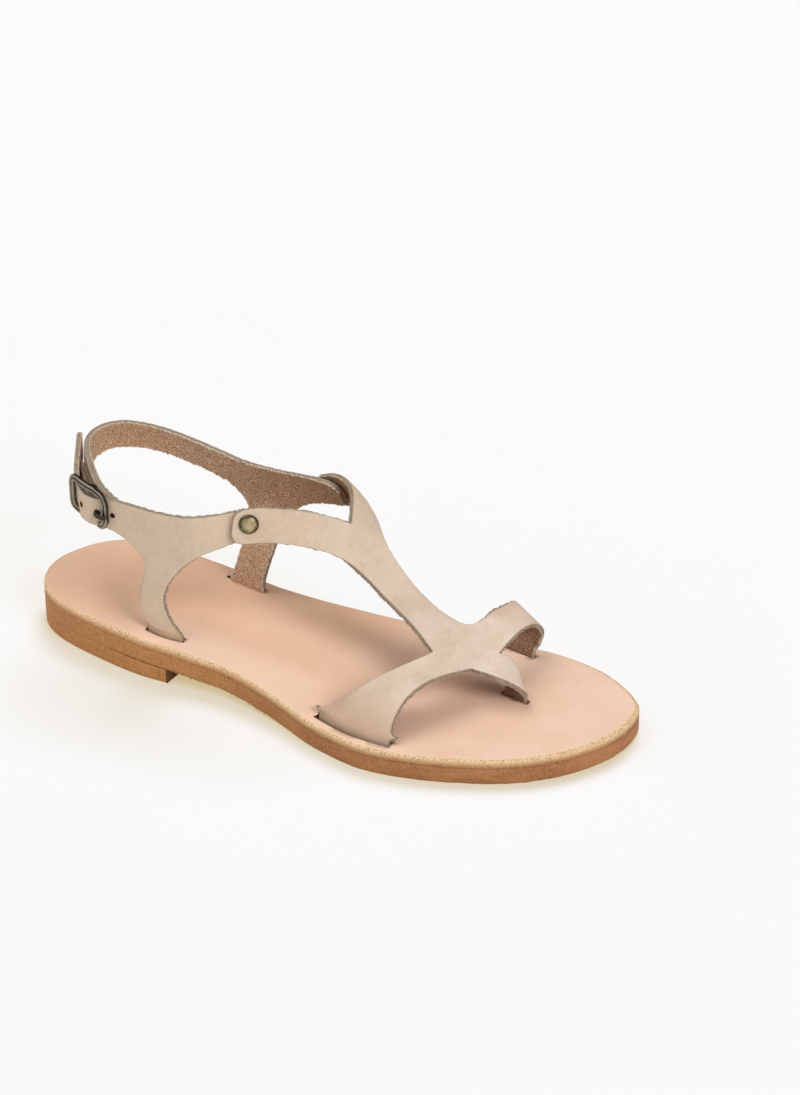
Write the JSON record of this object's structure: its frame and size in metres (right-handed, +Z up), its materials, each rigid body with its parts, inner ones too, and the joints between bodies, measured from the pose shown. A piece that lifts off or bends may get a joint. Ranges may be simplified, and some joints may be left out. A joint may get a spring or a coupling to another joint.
{
  "type": "ankle strap sandal",
  "caption": "Flat leather ankle strap sandal for the right foot, with a T-strap, toe loop, thong, riveted quarters and a side buckle on a slotted insole.",
  "frame": {"origin": "centre of the bounding box in plan, on the floor under the sole", "axes": "+X to the toe, +Y to the inner (medial) side of the right foot, +Z up"},
  "size_m": [0.248, 0.0935, 0.0769],
  "materials": {
    "sole_leather": "dyed cut edge, lightly waxed",
    "insole_leather": "smooth vegetable tanned grain",
    "nubuck": "matte nubuck with a suede flesh side",
    "brass": "antiqued",
    "dark_metal": "antiqued"
  },
  "bodies": {
    "root": {"outsole": "sole_leather", "heel_lift": "sole_leather", "insole": "insole_leather", "t_strap": "nubuck", "quarter_lateral": "nubuck", "quarter_medial": "nubuck", "buckle_tab": "nubuck", "buckle_frame": "dark_metal", "buckle_prong": "dark_metal", "rivet_lateral": "brass", "rivet_medial": "brass", "rivet_buckle": "brass"}
  },
  "joints": []
}
